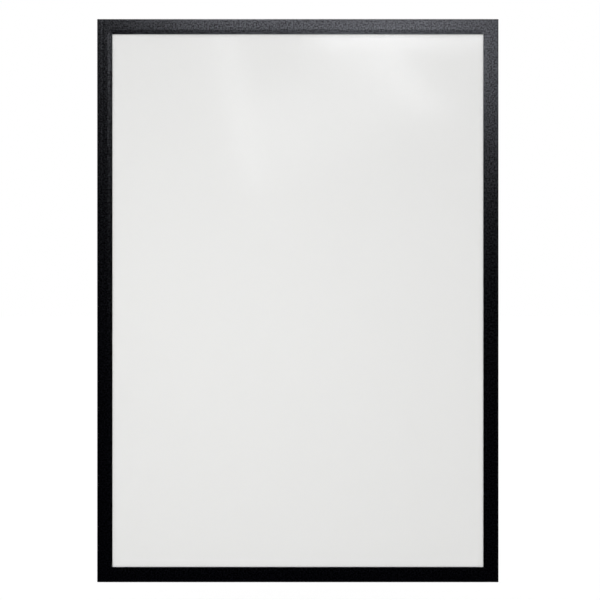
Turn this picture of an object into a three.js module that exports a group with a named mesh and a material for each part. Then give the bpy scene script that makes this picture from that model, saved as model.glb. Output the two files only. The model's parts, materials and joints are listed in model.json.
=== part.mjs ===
// A magnetic poster frame that sticks to a wall or a pane of glass.
//
// A clear backing sheet has tape behind it and a ring of magnet strips in front, and the poster
// lies inside that ring. The cover is a clear window film under a black border, with a ring of
// strips of its own. It folds open like a page, at a crease down its left side.
//
// Millimetres. X points right, Y into the wall and Z up, and the front faces -Y. The origin is
// in the wall plane, at the middle of the frame.

import * as THREE from "three";

// Poster
const posterWidth = 700;
const posterHeight = 1000;
const posterThickness = 0.25;
const posterPlay = 1.5; // free room round the poster, on each side
const posterRestGap = 0.25; // under the poster, where it stands on the bottom strip

// Magnet strips
const magnetWidth = 20;
const magnetThickness = 0.75;
const magnetJoint = 0.5; // gap where two strips of a ring meet
const closingGap = 0.125; // between the two rings when the cover is shut

// Sheets and films
const backSheetThickness = 0.25;
const windowFilmThickness = 0.25;
const borderThickness = 0.25;
const borderOverlap = 6; // how far the border covers the poster's edge
const coverOverhang = 0.5; // how far the cover stands past the backing, for a fingernail
const outerCornerRadius = 1;
const windowCornerRadius = 0.5;
const bondLine = 0.0625; // thickness of the glue between two layers

// Hinge
const hingeInset = 10; // from the cover's left edge to the middle of the crease
const creaseWidth = 0.75; // between the ends of the films
const creaseClearance = 0.0625; // between the films' ends and the web
const creaseNotchWidth = 0.375; // of the groove behind the web
const creaseNotchDepth = 0.125;
const hingeStripSetback = 0.25; // from the films' ends at the crease to the strips under them

// Wall tape
const tapeThickness = 0.25;
const tapeSetback = 1; // from both edges of the magnet strip that it lies behind
const tapeJoint = 0.5; // gap where two tapes meet

const arcSegments = 6; // in a quarter turn

// Distances from the middle, across (x) and up (z)
const pocketX = posterWidth / 2 + posterPlay;
const pocketZ = posterHeight / 2 + posterPlay;
const backingX = pocketX + magnetWidth;
const backingZ = pocketZ + magnetWidth;
const coverX = backingX + coverOverhang;
const coverZ = backingZ + coverOverhang;
const windowX = posterWidth / 2 - borderOverlap;
const windowZ = posterHeight / 2 - borderOverlap;
const creaseX = hingeInset - coverX;
const flangeEndX = creaseX - creaseWidth / 2;
const coverStartX = creaseX + creaseWidth / 2;

const borderFilm = new THREE.MeshStandardMaterial({ color: 0x131315, roughness: 0.55 });
const magnetFoil = new THREE.MeshStandardMaterial({ color: 0x2a2624, roughness: 0.8 });
const spacerFoil = new THREE.MeshStandardMaterial({ color: 0x1c1b1b, roughness: 0.75 });
const tapeFoam = new THREE.MeshStandardMaterial({ color: 0xe6e1d2, roughness: 0.5 });
const posterPaper = new THREE.MeshStandardMaterial({ color: 0xededea, roughness: 0.85 });
const clearFilm = new THREE.MeshStandardMaterial({
  color: 0xf4f6f6,
  roughness: 0.35,
  transparent: true,
  opacity: 0.25,
});

// A layer that lies in front of another. Its depth is the distance from the wall to its back.
function layerOn(behind, gap, thickness, material) {
  return { depth: behind.depth + behind.thickness + gap, thickness, material };
}

const wall = { depth: 0, thickness: 0 };
const tapeLayer = layerOn(wall, 0, tapeThickness, tapeFoam);
const backSheetLayer = layerOn(tapeLayer, bondLine, backSheetThickness, clearFilm);
const posterLayer = layerOn(backSheetLayer, bondLine, posterThickness, posterPaper);
const baseMagnetLayer = layerOn(backSheetLayer, bondLine, magnetThickness, magnetFoil);
const coverMagnetLayer = layerOn(baseMagnetLayer, closingGap, magnetThickness, magnetFoil);
const windowFilmLayer = layerOn(coverMagnetLayer, bondLine, windowFilmThickness, clearFilm);
const borderLayer = layerOn(windowFilmLayer, bondLine, borderThickness, borderFilm);

// The spacer fills the flange up to the window film, so it is as thick as the closed cover's gap
// and strip together, less the glue behind it.
const spacerThickness = closingGap + magnetThickness - bondLine;
const spacerLayer = layerOn(baseMagnetLayer, bondLine, spacerThickness, spacerFoil);

// A sheet of any outline in one layer.
function sheet(name, outline, layer) {
  const geometry = new THREE.ExtrudeGeometry(outline, {
    depth: layer.thickness,
    bevelEnabled: false,
    curveSegments: arcSegments,
  });
  const mesh = new THREE.Mesh(geometry, layer.material);
  mesh.name = name;
  mesh.position.z = layer.depth;
  return mesh;
}

// A strip with square corners in one layer.
function strip(name, edges, layer) {
  const { left, right, bottom, top } = edges;
  const geometry = new THREE.BoxGeometry(right - left, top - bottom, layer.thickness);
  const mesh = new THREE.Mesh(geometry, layer.material);
  mesh.name = name;
  mesh.position.set((left + right) / 2, (bottom + top) / 2, layer.depth + layer.thickness / 2);
  return mesh;
}

// Four strips round a pocket. The top and bottom ones run the whole width, and the two at the
// sides fit between them.
function ring(prefix, outer, inner, joint, layer) {
  const { left, right, bottom, top } = outer;
  const sideTop = inner.top - joint;
  const sideBottom = inner.bottom + joint;
  const made = new THREE.Group();
  made.add(
    strip(`${prefix}_top`, { left, right, bottom: inner.top, top }, layer),
    strip(`${prefix}_bottom`, { left, right, bottom, top: inner.bottom }, layer),
    strip(`${prefix}_left`, { left, right: inner.left, bottom: sideBottom, top: sideTop }, layer),
    strip(`${prefix}_right`, { left: inner.right, right, bottom: sideBottom, top: sideTop }, layer),
  );
  return made;
}

// The edges of a rectangle round the middle.
function centred(x, z) {
  return { left: -x, right: x, bottom: -z, top: z };
}

// Draws a rectangle with round corners on a shape or a hole.
function drawRectangle(path, edges, radius) {
  const left = edges.left + radius;
  const right = edges.right - radius;
  const bottom = edges.bottom + radius;
  const top = edges.top - radius;
  path.absarc(right, bottom, radius, -Math.PI / 2, 0);
  path.absarc(right, top, radius, 0, Math.PI / 2);
  path.absarc(left, top, radius, Math.PI / 2, Math.PI);
  path.absarc(left, bottom, radius, Math.PI, 1.5 * Math.PI);
}

function wallTapes() {
  const outer = centred(backingX - tapeSetback, backingZ - tapeSetback);
  const inner = centred(pocketX + tapeSetback, pocketZ + tapeSetback);
  return ring("wall_tape", outer, inner, tapeJoint, tapeLayer);
}

function backSheet() {
  const outline = new THREE.Shape();
  drawRectangle(outline, centred(backingX, backingZ), outerCornerRadius);
  return sheet("back_sheet", outline, backSheetLayer);
}

function baseMagnets() {
  const outer = centred(backingX, backingZ);
  return ring("base_magnet", outer, centred(pocketX, pocketZ), magnetJoint, baseMagnetLayer);
}

// The poster stands on the bottom strip and leans on the backing sheet.
function poster() {
  const bottom = posterRestGap - pocketZ;
  const edges = { left: -posterWidth / 2, right: posterWidth / 2, bottom, top: bottom + posterHeight };
  return strip("poster_sheet", edges, posterLayer);
}

// The flange's outline, square at the crease and round at its two outer corners.
function flangeOutline() {
  const radius = outerCornerRadius;
  const outline = new THREE.Shape();
  outline.absarc(radius - coverX, coverZ - radius, radius, Math.PI / 2, Math.PI);
  outline.absarc(radius - coverX, radius - coverZ, radius, Math.PI, 1.5 * Math.PI);
  outline.lineTo(flangeEndX, -coverZ);
  outline.lineTo(flangeEndX, coverZ);
  return outline;
}

// The cover's outline, square at the crease and round at its two outer corners.
function coverOutline() {
  const radius = outerCornerRadius;
  const outline = new THREE.Shape();
  outline.absarc(coverX - radius, radius - coverZ, radius, -Math.PI / 2, 0);
  outline.absarc(coverX - radius, coverZ - radius, radius, 0, Math.PI / 2);
  outline.lineTo(coverStartX, coverZ);
  outline.lineTo(coverStartX, -coverZ);
  return outline;
}

// What stays on the backing to the left of the crease.
function hingeFlange() {
  const spacerEdges = centred(backingX, backingZ);
  spacerEdges.right = flangeEndX - hingeStripSetback;
  const made = new THREE.Group();
  made.add(
    strip("hinge_spacer", spacerEdges, spacerLayer),
    sheet("hinge_window_margin", flangeOutline(), windowFilmLayer),
    sheet("hinge_border_margin", flangeOutline(), borderLayer),
  );
  return made;
}

function coverMagnets() {
  const outer = centred(backingX, backingZ);
  outer.left = coverStartX + hingeStripSetback;
  return ring("cover_magnet", outer, centred(pocketX, pocketZ), magnetJoint, coverMagnetLayer);
}

function coverBorder() {
  const outline = coverOutline();
  const opening = new THREE.Path();
  drawRectangle(opening, centred(windowX, windowZ), windowCornerRadius);
  outline.holes.push(opening);
  return sheet("cover_border", outline, borderLayer);
}

// The web that the cover bends on: flush with the border in front, and grooved behind.
function hingeCrease() {
  const edge = creaseWidth / 2 - creaseClearance;
  const section = new THREE.Shape();
  section.moveTo(-edge, 0);
  section.lineTo(-creaseNotchWidth / 2, 0);
  section.lineTo(0, creaseNotchDepth);
  section.lineTo(creaseNotchWidth / 2, 0);
  section.lineTo(edge, 0);
  section.lineTo(edge, borderLayer.thickness);
  section.lineTo(-edge, borderLayer.thickness);
  const geometry = new THREE.ExtrudeGeometry(section, { depth: 2 * coverZ, bevelEnabled: false });
  const mesh = new THREE.Mesh(geometry, borderLayer.material);
  mesh.name = "hinge_crease";
  mesh.rotation.x = Math.PI / 2;
  mesh.position.set(creaseX, coverZ, borderLayer.depth);
  return mesh;
}

function backing() {
  const made = new THREE.Group();
  made.add(wallTapes(), backSheet(), baseMagnets(), hingeFlange(), poster());
  return made;
}

function cover() {
  const made = new THREE.Group();
  made.add(coverMagnets(), sheet("window_film", coverOutline(), windowFilmLayer));
  made.add(coverBorder(), hingeCrease());
  return made;
}

// Everything is drawn lying on its back. The turn stands it against the wall.
const posterFrame = new THREE.Group();
posterFrame.add(backing(), cover());
posterFrame.rotation.x = Math.PI / 2;

export default posterFrame;
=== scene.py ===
import json
import math

import bmesh
import bpy
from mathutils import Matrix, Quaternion, Vector


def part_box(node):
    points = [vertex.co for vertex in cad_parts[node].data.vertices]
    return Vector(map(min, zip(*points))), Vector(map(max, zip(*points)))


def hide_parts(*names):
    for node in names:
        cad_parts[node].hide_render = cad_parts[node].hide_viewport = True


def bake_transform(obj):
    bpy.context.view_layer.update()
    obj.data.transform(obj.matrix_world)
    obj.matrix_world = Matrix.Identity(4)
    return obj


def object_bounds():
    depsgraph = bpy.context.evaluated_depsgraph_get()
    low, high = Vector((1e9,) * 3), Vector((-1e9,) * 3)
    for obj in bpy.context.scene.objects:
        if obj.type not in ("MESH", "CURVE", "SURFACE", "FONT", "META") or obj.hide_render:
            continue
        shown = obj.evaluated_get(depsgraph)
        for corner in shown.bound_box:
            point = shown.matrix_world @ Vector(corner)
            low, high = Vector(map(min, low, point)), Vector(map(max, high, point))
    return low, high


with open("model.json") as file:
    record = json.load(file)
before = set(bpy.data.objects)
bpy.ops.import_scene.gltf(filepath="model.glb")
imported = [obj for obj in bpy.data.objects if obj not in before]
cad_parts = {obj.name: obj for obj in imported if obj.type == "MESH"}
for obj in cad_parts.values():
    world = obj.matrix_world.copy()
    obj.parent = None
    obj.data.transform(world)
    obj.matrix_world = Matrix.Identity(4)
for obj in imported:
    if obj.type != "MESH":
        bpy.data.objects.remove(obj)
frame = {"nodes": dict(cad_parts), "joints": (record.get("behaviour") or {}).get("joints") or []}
cadLow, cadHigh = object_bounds()
nodes = frame["nodes"]
mm = 0.001
print("stage: frame loaded")


# where things are, read from the frame

borderLow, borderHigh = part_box("cover_border")
flangeLow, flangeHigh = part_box("hinge_border_margin")
filmLow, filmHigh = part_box("window_film")
creaseX = frame["joints"][0]["pos_m"][0]
bend = (flangeHigh.x, borderLow.x)  # the film bends between the flange's end and the cover's start

# inner edges of the strips on the cover: inside them, nothing holds the films up
pocket = {
    "Left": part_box("cover_magnet_left")[1].x,
    "Right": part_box("cover_magnet_right")[0].x,
    "Bottom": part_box("cover_magnet_bottom")[1].z,
    "Top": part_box("cover_magnet_top")[0].z,
}
holeEdge = [
    vertex.co for vertex in nodes["cover_border"].data.vertices
    if pocket["Left"] < vertex.co.x < pocket["Right"]
    and pocket["Bottom"] < vertex.co.z < pocket["Top"]
]
window = {
    "left": min(point.x for point in holeEdge),
    "right": max(point.x for point in holeEdge),
    "bottom": min(point.z for point in holeEdge),
    "top": max(point.z for point in holeEdge),
}


# shared helpers

def hexColour(text):
    values = [int(text[i:i + 2], 16) / 255 for i in (1, 3, 5)]
    return [v / 12.92 if v <= 0.04045 else ((v + 0.055) / 1.055) ** 2.4 for v in values] + [1]


def addNode(tree, kind, settings=None, inputs=None):
    node = tree.nodes.new(kind)
    for name, value in (settings or {}).items():
        setattr(node, name, value)
    for key, value in (inputs or {}).items():
        if isinstance(value, bpy.types.NodeSocket):
            tree.links.new(value, node.inputs[key])
        else:
            node.inputs[key].default_value = value
    return node


def newMaterial(name):
    material = bpy.data.materials.new(name)
    material.use_nodes = True
    material.node_tree.nodes.clear()
    return material, material.node_tree


def finishMaterial(tree, surface):
    shader = addNode(tree, "ShaderNodeBsdfPrincipled", None, surface)
    addNode(tree, "ShaderNodeOutputMaterial", None, {"Surface": shader.outputs["BSDF"]})


# materials

borderLook = {
    "darkColour": "#000001",
    "paleColour": "#010107",
    "sheenTint": "#f6f8ff",
    "roughness": (0.28, 0.34),  # in the pits and on the tips
    "grainSize": 3.0,  # mm, five times the real grain, which would be too fine to see
    "grainHeight": 0.05,  # mm
    "grainRange": (0.35, 0.65),  # of the noise, from the pits to the tips
    "grainGloss": (0.06, 0.44),  # specular level in the pits and on the tips
    "waveSize": 38,  # mm
    "waveHeight": 0.25,  # mm
    "ior": 1.5,
}


# Matt black PVC film, rolled with a sand grain: a wide soft sheen that the grain breaks into specks.
def blackGrainedFilm():
    look = borderLook
    material, tree = newMaterial("pvc_film_black_sand_grain")
    point = addNode(tree, "ShaderNodeTexCoord").outputs["Object"]
    grain = addNode(tree, "ShaderNodeTexNoise", None, {
        "Vector": point, "Scale": 1 / (look["grainSize"] * mm), "Detail": 2.0}).outputs["Fac"]
    tips = addNode(tree, "ShaderNodeMapRange", None, {
        "Value": grain, "From Min": look["grainRange"][0],
        "From Max": look["grainRange"][1]}).outputs["Result"]
    gloss = addNode(tree, "ShaderNodeMapRange", None, {
        "Value": tips, "To Min": look["grainGloss"][0], "To Max": look["grainGloss"][1]})
    wave = addNode(tree, "ShaderNodeTexNoise", None, {
        "Vector": point, "Scale": 1 / (look["waveSize"] * mm), "Detail": 1.0})
    colour = addNode(tree, "ShaderNodeMix", {"data_type": "RGBA"}, {
        "Factor": tips, "A": hexColour(look["darkColour"]), "B": hexColour(look["paleColour"])})
    rough = addNode(tree, "ShaderNodeMapRange", None, {
        "Value": tips, "To Min": look["roughness"][0], "To Max": look["roughness"][1]})
    waves = addNode(tree, "ShaderNodeBump", None, {
        "Height": wave.outputs["Fac"], "Strength": 1.0, "Distance": look["waveHeight"] * mm})
    bump = addNode(tree, "ShaderNodeBump", None, {
        "Height": grain, "Strength": 1.0,
        "Distance": look["grainHeight"] * mm, "Normal": waves.outputs["Normal"]})
    finishMaterial(tree, {
        "Base Color": colour.outputs["Result"], "Roughness": rough.outputs["Result"],
        "Normal": bump.outputs["Normal"], "Specular Tint": hexColour(look["sheenTint"]),
        "Specular IOR Level": gloss.outputs["Result"], "IOR": look["ior"]})
    return material


windowLook = {
    "colour": "#e8e8e8",
    "alpha": 0.05,
    "roughness": 0.14,
    "etchSize": 1.6,  # mm, the etch is far finer than this on the real film
    "etchHeight": 0.003,  # mm
    "streakWidth": 45,  # mm
    "streakLength": 95,  # mm
    "streakHeight": 0.5,  # mm
    "ior": 1.65,
    "gloss": 1.0,  # specular level
}


# Clear PET film with an etched anti-glare face: a thin haze, and a soft gloss in upright streaks.
def antiGlareFilm():
    look = windowLook
    material, tree = newMaterial("pet_film_clear_anti_glare")
    point = addNode(tree, "ShaderNodeTexCoord").outputs["Object"]
    wide, tall = look["streakWidth"] * mm, look["streakLength"] * mm
    stretched = addNode(tree, "ShaderNodeMapping", None, {
        "Vector": point, "Scale": (1 / wide, 1 / wide, 1 / tall)})
    streak = addNode(tree, "ShaderNodeTexNoise", None, {
        "Vector": stretched.outputs["Vector"], "Scale": 1.0, "Detail": 1.0})
    etch = addNode(tree, "ShaderNodeTexNoise", None, {
        "Vector": point, "Scale": 1 / (look["etchSize"] * mm), "Detail": 1.0})
    pull = addNode(tree, "ShaderNodeBump", None, {
        "Height": streak.outputs["Fac"], "Strength": 1.0, "Distance": look["streakHeight"] * mm})
    bump = addNode(tree, "ShaderNodeBump", None, {
        "Height": etch.outputs["Fac"], "Strength": 1.0, "Distance": look["etchHeight"] * mm,
        "Normal": pull.outputs["Normal"]})
    finishMaterial(tree, {
        "Base Color": hexColour(look["colour"]), "Roughness": look["roughness"],
        "IOR": look["ior"], "Specular IOR Level": look["gloss"], "Alpha": look["alpha"],
        "Normal": bump.outputs["Normal"]})
    return material


backSheetLook = {
    "colour": "#dfe4e2",
    "alpha": 0.1,
    "roughness": 0.12,
    "waveSize": 60,  # mm
    "waveHeight": 0.08,  # mm
    "ior": 1.65,
}


# Clear PET sheet, calendered: glossy, with the long shallow waves of a rolled sheet.
def clearBackSheet():
    look = backSheetLook
    material, tree = newMaterial("pet_sheet_clear_calendered")
    point = addNode(tree, "ShaderNodeTexCoord").outputs["Object"]
    wave = addNode(tree, "ShaderNodeTexNoise", None, {
        "Vector": point, "Scale": 1 / (look["waveSize"] * mm), "Detail": 1.0})
    bump = addNode(tree, "ShaderNodeBump", None, {
        "Height": wave.outputs["Fac"], "Strength": 1.0, "Distance": look["waveHeight"] * mm})
    finishMaterial(tree, {
        "Base Color": hexColour(look["colour"]), "Roughness": look["roughness"],
        "IOR": look["ior"], "Alpha": look["alpha"], "Normal": bump.outputs["Normal"]})
    return material


paperLook = {
    "colours": ("#eeeeec", "#f0f0ef"),
    "roughness": 0.75,
    "fibreSize": 1.8,  # mm, drawn coarser than real fibres, which would be too fine to see
    "fibreHeight": 0.004,  # mm
    "cloudSize": 14,  # mm
    "ior": 1.5,
}


# Coated white poster paper: nearly even, with faint clouds and a fine fibre tooth.
def posterPaper():
    look = paperLook
    material, tree = newMaterial("paper_coated_white")
    point = addNode(tree, "ShaderNodeTexCoord").outputs["Object"]
    cloud = addNode(tree, "ShaderNodeTexNoise", None, {
        "Vector": point, "Scale": 1 / (look["cloudSize"] * mm), "Detail": 2.0})
    fibre = addNode(tree, "ShaderNodeTexNoise", None, {
        "Vector": point, "Scale": 1 / (look["fibreSize"] * mm), "Detail": 3.0})
    colour = addNode(tree, "ShaderNodeMix", {"data_type": "RGBA"}, {
        "Factor": cloud.outputs["Fac"],
        "A": hexColour(look["colours"][0]), "B": hexColour(look["colours"][1])})
    bump = addNode(tree, "ShaderNodeBump", None, {
        "Height": fibre.outputs["Fac"], "Strength": 1.0, "Distance": look["fibreHeight"] * mm})
    finishMaterial(tree, {
        "Base Color": colour.outputs["Result"], "Roughness": look["roughness"],
        "Normal": bump.outputs["Normal"], "IOR": look["ior"]})
    return material


# flexible ferrite magnet, calendered rubber: brown black and dull, with drawn-out rolling marks
magnetLook = {
    "colours": ("#1d1917", "#2c2623"),
    "roughness": (0.55, 0.72),
    "speckSize": 1.5,  # mm, drawn coarser than the ferrite's real specks
    "markLength": 40,  # mm
    "markWidth": 1.2,  # mm
    "markHeight": 0.02,  # mm
    "markRange": (0.3, 0.7),  # of the noise, from the smoothest to the dullest marks
    "ior": 1.5,
}

# PVC spacer strip, extruded: blacker and smoother, with fine die lines along it
spacerLook = {
    "colours": ("#141415", "#1b1b1c"),
    "roughness": (0.38, 0.5),
    "speckSize": 2.5,  # mm
    "markLength": 90,  # mm
    "markWidth": 0.7,  # mm
    "markHeight": 0.008,  # mm
    "markRange": (0.3, 0.7),
    "ior": 1.5,
}


# A strip's material with speckled colour and marks drawn out along it.
def drawnStrip(name, look, alongX):
    material, tree = newMaterial(name)
    point = addNode(tree, "ShaderNodeTexCoord").outputs["Object"]
    size = (look["markLength"], look["markWidth"])
    across, up = size if alongX else size[::-1]
    stretched = addNode(tree, "ShaderNodeMapping", None, {
        "Vector": point, "Scale": (1 / (across * mm), 1 / (look["markWidth"] * mm), 1 / (up * mm))})
    roll = addNode(tree, "ShaderNodeTexNoise", None, {
        "Vector": stretched.outputs["Vector"], "Scale": 1.0, "Detail": 2.0})
    speck = addNode(tree, "ShaderNodeTexNoise", None, {
        "Vector": point, "Scale": 1 / (look["speckSize"] * mm), "Detail": 2.0})
    colour = addNode(tree, "ShaderNodeMix", {"data_type": "RGBA"}, {
        "Factor": speck.outputs["Fac"],
        "A": hexColour(look["colours"][0]), "B": hexColour(look["colours"][1])})
    rough = addNode(tree, "ShaderNodeMapRange", None, {
        "Value": roll.outputs["Fac"], "From Min": look["markRange"][0], "From Max": look["markRange"][1],
        "To Min": look["roughness"][0], "To Max": look["roughness"][1]})
    bump = addNode(tree, "ShaderNodeBump", None, {
        "Height": roll.outputs["Fac"], "Strength": 1.0, "Distance": look["markHeight"] * mm})
    finishMaterial(tree, {
        "Base Color": colour.outputs["Result"], "Roughness": rough.outputs["Result"],
        "Normal": bump.outputs["Normal"], "IOR": look["ior"]})
    return material


tapeLook = {
    "colours": ("#ded8c6", "#ece8dc"),
    "roughness": 0.38,
    "bubbleSize": 3.5,  # mm
    "bubbleHeight": 0.03,  # mm
    "ior": 1.47,
}


# Acrylic foam tape, cast: cream and faintly tacky, with a pebbled glue face.
def acrylicTape():
    look = tapeLook
    material, tree = newMaterial("acrylic_foam_tape_cream")
    point = addNode(tree, "ShaderNodeTexCoord").outputs["Object"]
    bubble = addNode(tree, "ShaderNodeTexNoise", None, {
        "Vector": point, "Scale": 1 / (look["bubbleSize"] * mm), "Detail": 3.0})
    colour = addNode(tree, "ShaderNodeMix", {"data_type": "RGBA"}, {
        "Factor": bubble.outputs["Fac"],
        "A": hexColour(look["colours"][0]), "B": hexColour(look["colours"][1])})
    bump = addNode(tree, "ShaderNodeBump", None, {
        "Height": bubble.outputs["Fac"], "Strength": 1.0, "Distance": look["bubbleHeight"] * mm})
    finishMaterial(tree, {
        "Base Color": colour.outputs["Result"], "Roughness": look["roughness"],
        "Normal": bump.outputs["Normal"], "IOR": look["ior"]})
    return material


# films, made in Geometry Nodes from a flat cutting plan

reliefs = {
    "sagDepth": 0.65,  # mm that the films fall back towards the poster inside the strips
    "sagLength": 4.5,  # mm over which they do most of that
    "steepness": {"Left": 1.5, "Right": 0.6, "Bottom": 1.0, "Top": 1.1},  # of the fall at each side
    "sagSetback": 1.5,  # mm outside the strips' inner edges, where they start to fall
    "sagCorner": 12,  # mm, blunts the fold between two sides
    "droopDepth": 0.08,  # mm that the cut outer edges fall back
    "droopWidth": 1.6,  # mm
    "creaseDepth": 0.1,  # mm
    "creaseWidth": 1.6,  # mm from the middle of the crease to where it has mostly gone
    "waveHeight": 0.05,  # mm
    "waveSize": 60,  # mm
    "seed": 3,
    "edgeRounding": 0.05,  # mm
    "edgeSegments": 2,  # of the rounding
    "edgeAngle": 60,  # degrees, edges that turn more than this are rounded
    "sharpAngle": 35,  # degrees, edges that turn more than this stay crisp in the shading
    "weld": 0.001,  # mm between points that are one
    "cornerRadius": 1.0,  # mm, as on the cover in the CAD model
    "openingRadius": 0.5,  # mm
}

# How deep a film falls at a point. Each step has a name, an operation and what goes in: numbers, the
# point's X and Z, the wave noise, inputs of the group or earlier steps.
reliefSteps = [
    # how far the point lies inside the strips, with steep sides counting for more
    ("past left", "SUBTRACT", "X", "Left"),
    ("within left", "MULTIPLY", "past left", "Steep Left"),
    ("past right", "SUBTRACT", "Right", "X"),
    ("within right", "MULTIPLY", "past right", "Steep Right"),
    ("past bottom", "SUBTRACT", "Z", "Bottom"),
    ("within bottom", "MULTIPLY", "past bottom", "Steep Bottom"),
    ("past top", "SUBTRACT", "Top", "Z"),
    ("within top", "MULTIPLY", "past top", "Steep Top"),
    ("within sides", "SMOOTH_MIN", "within left", "within right", "Sag Corner"),
    ("within ends", "SMOOTH_MIN", "within bottom", "within top", "Sag Corner"),
    ("within all", "SMOOTH_MIN", "within sides", "within ends", "Sag Corner"),
    ("inside", "MAXIMUM", "within all", 0.0),
    # there it falls back, softly at first and then like a hanging sheet that comes to rest
    ("share", "DIVIDE", "inside", "Sag Length"),
    ("share squared", "MULTIPLY", "share", "share"),
    ("share and one", "ADD", "share", 1.0),
    ("fall", "DIVIDE", "share squared", "share and one"),
    ("fall down", "MULTIPLY", "fall", -1.0),
    ("kept", "EXPONENT", "fall down"),
    ("lost", "SUBTRACT", 1.0, "kept"),
    ("sag", "MULTIPLY", "lost", "Sag Depth"),
    # the outer edges droop
    ("from left", "SUBTRACT", "X", "Outer Left"),
    ("from right", "SUBTRACT", "Outer Right", "X"),
    ("from sides", "MINIMUM", "from left", "from right"),
    ("from bottom", "SUBTRACT", "Z", "Outer Bottom"),
    ("from top", "SUBTRACT", "Outer Top", "Z"),
    ("from ends", "MINIMUM", "from bottom", "from top"),
    ("from edge", "MINIMUM", "from sides", "from ends"),
    ("edge share", "DIVIDE", "from edge", "Droop Width"),
    ("edge squared", "MULTIPLY", "edge share", "edge share"),
    ("edge down", "MULTIPLY", "edge squared", -1.0),
    ("bent", "EXPONENT", "edge down"),
    ("droop", "MULTIPLY", "bent", "Droop Depth"),
    # the crease is a shallow valley
    ("beside crease", "SUBTRACT", "X", "Crease X"),
    ("crease share", "DIVIDE", "beside crease", "Crease Width"),
    ("crease squared", "MULTIPLY", "crease share", "crease share"),
    ("crease down", "MULTIPLY", "crease squared", -1.0),
    ("valley", "EXPONENT", "crease down"),
    ("crease", "MULTIPLY", "valley", "Crease Depth"),
    # slow waves, and all of it together
    ("centred noise", "SUBTRACT", "Noise", 0.5),
    ("wave", "MULTIPLY", "centred noise", "Wave Height"),
    ("sag and crease", "ADD", "sag", "crease"),
    ("droop and wave", "ADD", "droop", "wave"),
    ("depth", "ADD", "sag and crease", "droop and wave"),
]


def filmTree():
    tree = bpy.data.node_groups.new("filmRelief", "GeometryNodeTree")
    interface = tree.interface
    interface.new_socket("Plan", in_out="INPUT", socket_type="NodeSocketGeometry")
    for name in (
        "Left", "Right", "Bottom", "Top", "Steep Left", "Steep Right",
        "Steep Bottom", "Steep Top", "Sag Depth", "Sag Length", "Sag Corner",
        "Outer Left", "Outer Right", "Outer Bottom", "Outer Top", "Droop Depth", "Droop Width",
        "Crease X", "Crease Depth", "Crease Width", "Wave Height", "Wave Size", "Seed", "Thickness",
    ):
        interface.new_socket(name, in_out="INPUT", socket_type="NodeSocketFloat")
    interface.new_socket("Material", in_out="INPUT", socket_type="NodeSocketMaterial")
    interface.new_socket("Film", in_out="OUTPUT", socket_type="NodeSocketGeometry")
    given = addNode(tree, "NodeGroupInput").outputs
    place = addNode(tree, "GeometryNodeInputPosition").outputs["Position"]
    axes = addNode(tree, "ShaderNodeSeparateXYZ", None, {"Vector": place}).outputs
    waveScale = addNode(tree, "ShaderNodeMath", {"operation": "DIVIDE"}, {0: 1.0, 1: given["Wave Size"]})
    noise = addNode(tree, "ShaderNodeTexNoise", {"noise_dimensions": "4D"}, {
        "Vector": place, "W": given["Seed"], "Scale": waveScale.outputs["Value"], "Detail": 1.0})

    # the plan falls back by its depth
    known = {socket.name: socket for socket in given if socket.name}
    known.update({"X": axes["X"], "Z": axes["Z"], "Noise": noise.outputs["Fac"]})
    for name, operation, *terms in reliefSteps:
        values = {i: known.get(term, term) for i, term in enumerate(terms)}
        known[name] = addNode(tree, "ShaderNodeMath", {"operation": operation}, values).outputs["Value"]
    offset = addNode(tree, "ShaderNodeCombineXYZ", None, {"Y": known["depth"]}).outputs["Vector"]
    shaped = addNode(tree, "GeometryNodeSetPosition", None, {
        "Geometry": given["Plan"], "Offset": offset}).outputs["Geometry"]

    # front face, edges and back face
    forward = addNode(tree, "ShaderNodeMath", {"operation": "MULTIPLY"}, {
        0: given["Thickness"], 1: -1.0})
    thick = addNode(tree, "ShaderNodeCombineXYZ", None, {"Y": forward.outputs["Value"]})
    raised = addNode(tree, "GeometryNodeExtrudeMesh", {"mode": "FACES"}, {
        "Mesh": shaped, "Individual": False, "Offset Scale": 1.0, "Offset": thick.outputs["Vector"]})
    back = addNode(tree, "GeometryNodeFlipFaces", None, {"Mesh": shaped})
    joined = addNode(tree, "GeometryNodeJoinGeometry")
    tree.links.new(raised.outputs["Mesh"], joined.inputs["Geometry"])
    tree.links.new(back.outputs["Mesh"], joined.inputs["Geometry"])
    closed = addNode(tree, "GeometryNodeMergeByDistance", None, {
        "Geometry": joined.outputs["Geometry"], "Distance": reliefs["weld"] * mm})
    plain = addNode(tree, "GeometryNodeRealizeInstances", None, {
        "Geometry": closed.outputs["Geometry"]})
    dressed = addNode(tree, "GeometryNodeSetMaterial", None, {
        "Geometry": plain.outputs["Geometry"], "Material": given["Material"]})
    addNode(tree, "NodeGroupOutput", None, {"Film": dressed.outputs["Geometry"]})
    return tree


def cutLines(*stretches):
    lines = [stretches[0][0]]
    for start, end, step in stretches:
        count = max(1, math.ceil((end - start) / step))
        lines += [start + (end - start) * i / count for i in range(1, count + 1)]
    return lines


# Bends the square grid near an outer corner into a quarter of a disc.
def roundCorner(vertices, corner, radius):
    toward = [math.copysign(1, value) for value in corner]
    centre = [value - sign * radius for value, sign in zip(corner, toward)]
    for vertex in vertices:
        u = (vertex.co.x - centre[0]) * toward[0] / radius
        v = (vertex.co.z - centre[1]) * toward[1] / radius
        if u > 0 and v > 0:
            vertex.co.x = centre[0] + toward[0] * radius * u * math.sqrt(1 - v * v / 2)
            vertex.co.z = centre[1] + toward[1] * radius * v * math.sqrt(1 - u * u / 2)


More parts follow.
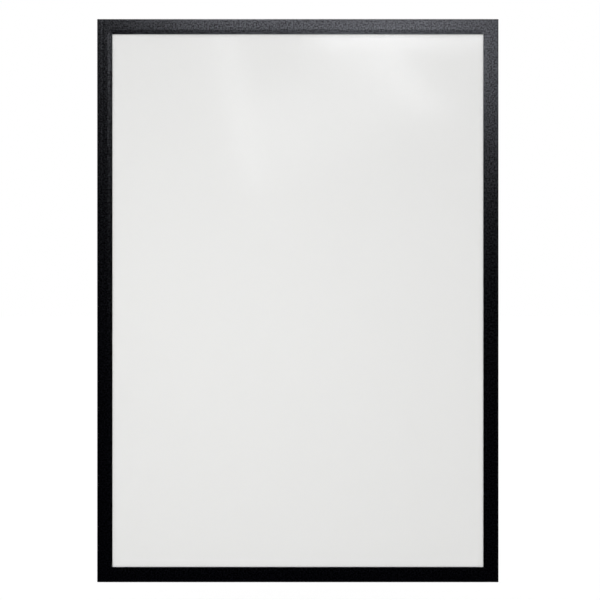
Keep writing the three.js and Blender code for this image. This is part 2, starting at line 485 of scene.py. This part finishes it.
# Fills a corner of the opening up to its round, which has four straight steps.
def fillOpeningCorner(bm, corner, alongX, alongZ, radius):
    steps = 4
    inward = (math.copysign(1, -corner.co.x), math.copysign(1, -corner.co.z))
    centre = (corner.co.x + inward[0] * radius, corner.co.z + inward[1] * radius)
    ring = [alongX]
    for step in range(1, steps):
        angle = step * math.pi / (2 * steps)
        ring.append(bm.verts.new((
            centre[0] - inward[0] * radius * math.sin(angle), corner.co.y,
            centre[1] - inward[1] * radius * math.cos(angle))))
    ring.append(alongZ)
    for start, end in zip(ring, ring[1:]):
        points = (corner, start, end)
        bm.faces.new(points if inward[0] * inward[1] > 0 else points[::-1])


def flatPlan(name, xLines, zLines, y, opening=None):
    bm = bmesh.new()
    rows = [[bm.verts.new((x, y, z)) for x in xLines] for z in zLines]
    for i in range(len(zLines) - 1):
        for j in range(len(xLines) - 1):
            x = (xLines[j] + xLines[j + 1]) / 2
            z = (zLines[i] + zLines[i + 1]) / 2
            inOpening = (opening and opening["left"] < x < opening["right"]
                         and opening["bottom"] < z < opening["top"])
            if not inOpening:
                bm.faces.new((rows[i][j], rows[i][j + 1], rows[i + 1][j + 1], rows[i + 1][j]))
    if opening:
        for side, stepX in (("left", 1), ("right", -1)):
            for end, stepZ in (("bottom", 1), ("top", -1)):
                j = xLines.index(min(xLines, key=lambda x: abs(x - opening[side])))
                i = zLines.index(min(zLines, key=lambda z: abs(z - opening[end])))
                fillOpeningCorner(bm, rows[i][j], rows[i][j + stepX], rows[i + stepZ][j],
                                  reliefs["openingRadius"] * mm)
    bmesh.ops.delete(bm, geom=[v for v in bm.verts if not v.link_faces], context="VERTS")
    for x in (xLines[0], xLines[-1]):
        for z in (zLines[0], zLines[-1]):
            roundCorner(bm.verts, (x, z), reliefs["cornerRadius"] * mm)
    bm.normal_update()
    mesh = bpy.data.meshes.new(name)
    bm.to_mesh(mesh)
    bm.free()
    return bpy.data.objects.new(name, mesh)


reliefValues = {
    "Left": pocket["Left"] - reliefs["sagSetback"] * mm,
    "Right": pocket["Right"] + reliefs["sagSetback"] * mm,
    "Bottom": pocket["Bottom"] - reliefs["sagSetback"] * mm,
    "Top": pocket["Top"] + reliefs["sagSetback"] * mm,
    "Sag Depth": reliefs["sagDepth"] * mm,
    "Sag Length": reliefs["sagLength"] * mm,
    **{f"Steep {side}": times for side, times in reliefs["steepness"].items()},
    "Sag Corner": reliefs["sagCorner"] * mm,
    "Outer Left": flangeLow.x,
    "Outer Right": borderHigh.x,
    "Outer Bottom": borderLow.z,
    "Outer Top": borderHigh.z,
    "Droop Depth": reliefs["droopDepth"] * mm,
    "Droop Width": reliefs["droopWidth"] * mm,
    "Crease X": creaseX,
    "Crease Depth": reliefs["creaseDepth"] * mm,
    "Crease Width": reliefs["creaseWidth"] * mm,
    "Wave Height": reliefs["waveHeight"] * mm,
    "Wave Size": reliefs["waveSize"] * mm,
    "Seed": float(reliefs["seed"]),
}


# Both films run on over the crease as one sheet, which bends with the cover.
def makeFilm(name, plan, tree, thickness, material):
    bpy.context.scene.collection.objects.link(plan)
    plan.data.materials.append(material)
    relief = plan.modifiers.new("relief", "NODES")
    relief.node_group = tree
    values = {**reliefValues, "Thickness": thickness, "Material": material}
    for item in tree.interface.items_tree:
        if item.in_out == "INPUT" and item.name in values:
            relief[item.identifier] = values[item.name]
    rounding = plan.modifiers.new("cut edge", "BEVEL")
    rounding.width = reliefs["edgeRounding"] * mm
    rounding.segments = reliefs["edgeSegments"]
    rounding.limit_method = "ANGLE"
    rounding.angle_limit = math.radians(reliefs["edgeAngle"])
    evaluated = plan.evaluated_get(bpy.context.evaluated_depsgraph_get())
    mesh = bpy.data.meshes.new_from_object(evaluated)
    mesh.name = name
    bpy.data.objects.remove(plan)
    mesh.shade_smooth()
    mesh.set_sharp_from_angle(angle=math.radians(reliefs["sharpAngle"]))
    piece = bpy.data.objects.new(name, mesh)
    bpy.context.scene.collection.objects.link(piece)
    print("piece", name, len(mesh.polygons), "faces")
    return piece


grid = {
    "cornerStep": 0.25,  # mm between lines in the outer corners
    "edgeZone": 4,  # mm beside an outer edge
    "edgeStep": 0.6,  # mm
    "stripStep": 1.8,  # mm between lines across the middle of a strip
    "lipZone": 11,  # mm beside the opening, where the films fall back
    "lipStep": 0.9,  # mm
    "longStep": 5,  # mm between lines along a strip
    "besideCrease": 4,  # mm on each side, where the lines lie closer
    "besideStep": 0.4,  # mm
    "bendStep": 0.05,  # mm between lines in the bend
    "windowZone": 20,  # mm inside the opening, where the clear film's lines lie closer
    "windowStep": 1.5,  # mm
    "windowMiddle": 9,  # mm
}


# The lines across a strip, from its outer edge to the opening or the other way round.
def stripLines(outer, opening):
    toward = math.copysign(mm, opening - outer)
    marks = (outer, outer + toward * reliefs["cornerRadius"], outer + toward * grid["edgeZone"],
             opening - toward * grid["lipZone"], opening)
    steps = ("cornerStep", "edgeStep", "stripStep", "lipStep")
    stretches = [(a, b, grid[step] * mm) for a, b, step in zip(marks, marks[1:], steps)]
    return stretches if toward > 0 else [(b, a, step) for a, b, step in reversed(stretches)]


# The lines across the flange, the crease and the cover as far as the opening.
def hingeSideLines():
    beside, lip = grid["besideCrease"] * mm, grid["lipZone"] * mm
    corner, edge = flangeLow.x + reliefs["cornerRadius"] * mm, flangeLow.x + grid["edgeZone"] * mm
    wide, close = grid["stripStep"] * mm, grid["besideStep"] * mm
    return [
        (flangeLow.x, corner, grid["cornerStep"] * mm),
        (corner, edge, grid["edgeStep"] * mm),
        (edge, bend[0] - beside, wide),
        (bend[0] - beside, bend[0], close),
        (bend[0], bend[1], grid["bendStep"] * mm),
        (bend[1], bend[1] + beside, close),
        (bend[1] + beside, window["left"] - lip, wide),
        (window["left"] - lip, window["left"], grid["lipStep"] * mm),
    ]


# A film's plan between two corners. Over the opening's width and height its lines are zoneStep apart in
# a zone at each end, and middleStep apart between the zones.
def filmPlan(name, low, high, zone, zoneStep, middleStep, opening=None):
    def across(start, end):
        return [(start, start + zone, zoneStep), (start + zone, end - zone, middleStep),
                (end - zone, end, zoneStep)]

    xLines = cutLines(
        *hingeSideLines(), *across(window["left"], window["right"]),
        *stripLines(high.x, window["right"]))
    zLines = cutLines(
        *stripLines(low.z, window["bottom"]), *across(window["bottom"], window["top"]),
        *stripLines(high.z, window["top"]))
    return flatPlan(name, xLines, zLines, high.y, opening)


def borderFilm(tree, material):
    corner, along = reliefs["openingRadius"] * mm, grid["longStep"] * mm
    plan = filmPlan("border_plan", borderLow, borderHigh, corner, corner, along, window)
    piece = makeFilm("border_film", plan, tree, borderHigh.y - borderLow.y, material)
    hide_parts("cover_border", "hinge_border_margin", "hinge_crease")
    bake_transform(piece)


def windowFilm(tree, material):
    zone, near, middle = (grid[key] * mm for key in ("windowZone", "windowStep", "windowMiddle"))
    plan = filmPlan("window_plan", filmLow, filmHigh, zone, near, middle)
    piece = makeFilm("clear_window_film", plan, tree, filmHigh.y - filmLow.y, material)
    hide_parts("window_film", "hinge_window_margin")
    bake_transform(piece)


# carried-over nodes

def dress(name, material):
    mesh = nodes[name].data
    mesh.materials.clear()
    mesh.materials.append(material)


def dressNodes():
    dress("back_sheet", clearBackSheet())
    dress("poster_sheet", posterPaper())
    dress("hinge_spacer", drawnStrip("pvc_strip_black_extruded", spacerLook, False))
    tape = acrylicTape()
    lying = drawnStrip("ferrite_rubber_rolled_across", magnetLook, True)
    standing = drawnStrip("ferrite_rubber_rolled_up", magnetLook, False)
    for side in ("top", "bottom", "left", "right"):
        rubber = lying if side in ("top", "bottom") else standing
        dress(f"wall_tape_{side}", tape)
        dress(f"base_magnet_{side}", rubber)
        dress(f"cover_magnet_{side}", rubber)


# camera, light and floor

cameraPlace = {
    "distance": 1.6,  # metres
    "across": 0.0040,
    "up": 0.0012,
    "viewWidth": 1.1124,  # metres that the picture spans at the frame
    "sensor": 36,  # mm
}


def addCamera():
    place = cameraPlace
    data = bpy.data.cameras.new("camera")
    data.sensor_width = place["sensor"]
    data.lens = data.sensor_width * place["distance"] / place["viewWidth"]
    camera = bpy.data.objects.new("camera", data)
    camera.location = (place["across"], borderLow.y - place["distance"], place["up"])
    camera.rotation_euler = (math.pi / 2, 0, 0)
    bpy.context.scene.collection.objects.link(camera)
    bpy.context.scene.camera = camera


# The gloss lamps show only as sheen: two strips along the top of the border, two glows below them and
# the two slanted streaks in the window. Places and sizes are in metres, rolls in degrees. Nothing
# overlaps the strips, because the common sheen would come out blotchy.
glossLamps = {
    "rightStrip": {"at": (0.38, -1.6, 1.04), "size": (0.66, 0.14), "roll": 0, "watts": 8.3},
    "lowerGlow": {"at": (0.14, -1.6, 0.72), "size": (0.62, 0.30), "roll": 20, "watts": 1.7},
    "leftStreak": {"at": (-0.22, -1.6, 0.70), "size": (0.05, 0.60), "roll": 16, "watts": 0.95},
    "rightStreak": {"at": (0.42, -1.6, 0.79), "size": (0.07, 0.34), "roll": 48, "watts": 0.7},
    "rightGlow": {"at": (0.90, -1.6, 0.86), "size": (0.20, 0.30), "roll": 0, "watts": 2.8},
    "leftStrip": {"at": (-0.29, -1.6, 1.32), "size": (0.54, 0.12), "roll": 0, "watts": 12.2},
}
glossTint = (0.98, 0.99, 1.03)

# The fill lights the paper and the floor, and shows in no gloss.
fillLamp = {"at": (-0.18, -1.0, -0.04), "size": (0.5, 0.5), "roll": 0, "watts": 1.9}


def addLamp(name, lamp, tint, target, inGloss):
    data = bpy.data.lights.new(name, "AREA")
    data.shape = "RECTANGLE"
    data.size, data.size_y = lamp["size"]
    data.energy = lamp["watts"]
    data.color = tint
    lampObject = bpy.data.objects.new(name, data)
    lampObject.location = lamp["at"]
    lampObject.rotation_mode = "QUATERNION"
    aim = Vector(target) - lampObject.location
    roll = Quaternion((0, 0, 1), math.radians(lamp["roll"]))
    lampObject.rotation_quaternion = aim.to_track_quat("-Z", "Y") @ roll
    lampObject.visible_glossy = inGloss
    lampObject.visible_diffuse = not inGloss
    bpy.context.scene.collection.objects.link(lampObject)


def addLamps():
    for name, lamp in glossLamps.items():
        addLamp(name, lamp, glossTint, (0, 0, 0), True)
    addLamp("fill", fillLamp, (1, 1, 1), (fillLamp["at"][0], 0, 0), False)


room = {
    "ambient": 0.915,
    "frontGlow": 0.0,  # what the room in front of the frame shows in its gloss
    "backdropEdge": 0.25,  # Y of the directions from which on the backdrop is full white
    "floorHalf": 40,  # metres
    "floorDrop": 0.28,  # metres below the frame, which hangs
    "floorColour": "#e6e6e6",
    "floorLift": 0.29,  # brings the lit floor to the white of the background
}


def addWorld():
    world = bpy.data.worlds.new("studio")
    world.use_nodes = True
    tree = world.node_tree
    tree.nodes.clear()
    path = addNode(tree, "ShaderNodeLightPath").outputs
    direction = addNode(tree, "ShaderNodeTexCoord").outputs["Generated"]
    toward = addNode(tree, "ShaderNodeSeparateXYZ", None, {"Vector": direction}).outputs["Y"]
    # the white backdrop stands behind the frame, so gloss shows it there and not in front
    backdrop = addNode(tree, "ShaderNodeMapRange", None, {
        "Value": toward, "From Min": 0.0, "From Max": room["backdropEdge"],
        "To Min": room["frontGlow"], "To Max": 1.0})
    light = addNode(tree, "ShaderNodeMix", None, {
        "Factor": path["Is Glossy Ray"], "A": room["ambient"], "B": backdrop.outputs["Result"]})
    seen = addNode(tree, "ShaderNodeMath", {"operation": "MAXIMUM"}, {
        0: path["Is Camera Ray"], 1: path["Is Transmission Ray"]})
    strength = addNode(tree, "ShaderNodeMix", None, {
        "Factor": seen.outputs["Value"], "A": light.outputs["Result"], "B": 1.0})
    background = addNode(tree, "ShaderNodeBackground", None, {
        "Color": (1, 1, 1, 1), "Strength": strength.outputs["Result"]})
    addNode(tree, "ShaderNodeOutputWorld", None, {"Surface": background.outputs["Background"]})
    bpy.context.scene.world = world


def addFloor():
    material, tree = newMaterial("floor_paper")
    paint = addNode(tree, "ShaderNodeBsdfDiffuse", None, {"Color": hexColour(room["floorColour"])})
    path = addNode(tree, "ShaderNodeLightPath").outputs
    seen = addNode(tree, "ShaderNodeMath", {"operation": "MAXIMUM"}, {
        0: path["Is Camera Ray"], 1: path["Is Transmission Ray"]})
    lift = addNode(tree, "ShaderNodeMath", {"operation": "MULTIPLY"}, {
        0: seen.outputs["Value"], 1: room["floorLift"]})
    glow = addNode(tree, "ShaderNodeEmission", None, {"Strength": lift.outputs["Value"]})
    both = addNode(tree, "ShaderNodeAddShader", None, {
        0: paint.outputs["BSDF"], 1: glow.outputs["Emission"]})
    addNode(tree, "ShaderNodeOutputMaterial", None, {"Surface": both.outputs["Shader"]})
    mesh = bpy.data.meshes.new("floor")
    half, z = room["floorHalf"], cadLow.z - room["floorDrop"]
    mesh.from_pydata([(-half, -half, z), (half, -half, z), (half, half, z), (-half, half, z)],
                     [], [(0, 1, 2, 3)])
    mesh.materials.append(material)
    floor = bpy.data.objects.new("floor", mesh)
    floor.visible_glossy = False
    bpy.context.scene.collection.objects.link(floor)


addCamera()
addLamps()
addWorld()
addFloor()
bpy.context.scene.view_settings.view_transform = "Standard"
print("stage: camera, light and floor")

dressNodes()
print("stage: carried-over nodes dressed")

reliefTree = filmTree()
borderFilm(reliefTree, blackGrainedFilm())
windowFilm(reliefTree, antiGlareFilm())
print("stage: films made")
